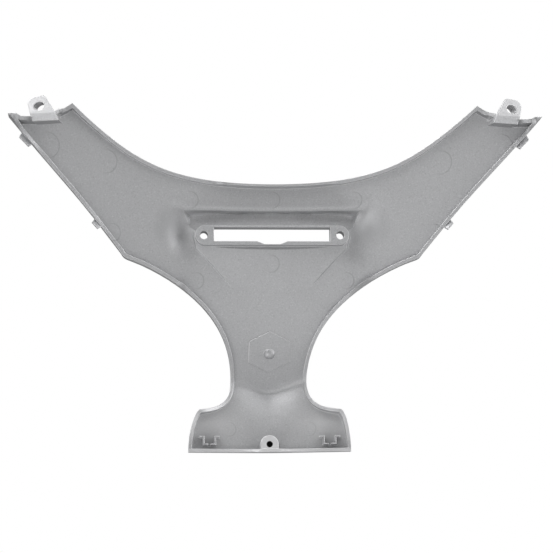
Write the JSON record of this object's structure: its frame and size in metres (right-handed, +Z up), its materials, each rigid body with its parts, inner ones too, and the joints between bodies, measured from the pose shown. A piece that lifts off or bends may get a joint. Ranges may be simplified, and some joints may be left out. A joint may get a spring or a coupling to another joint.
{
  "type": "scooter front center panel",
  "caption": "Y-shaped scooter front centre panel, a thin painted plastic moulding with flanged edges, fixing ears, a framed slot and a flared foot.",
  "frame": {"origin": "mouth of the blind screw hole in the boss at the panel's foot, in the middle of its width", "axes": "+X across the panel to the right as seen from its inner side, +Z up, -Y towards the viewer of the inner side with the bosses, so that +Y is the painted outer side"},
  "size_m": [0.3632, 0.1336, 0.2295],
  "materials": {
    "front_center_panel": "silver metallic paint over moulded plastic, finely speckled, satin"
  },
  "bodies": {
    "root": {"front_center_panel": "front_center_panel"}
  },
  "joints": []
}
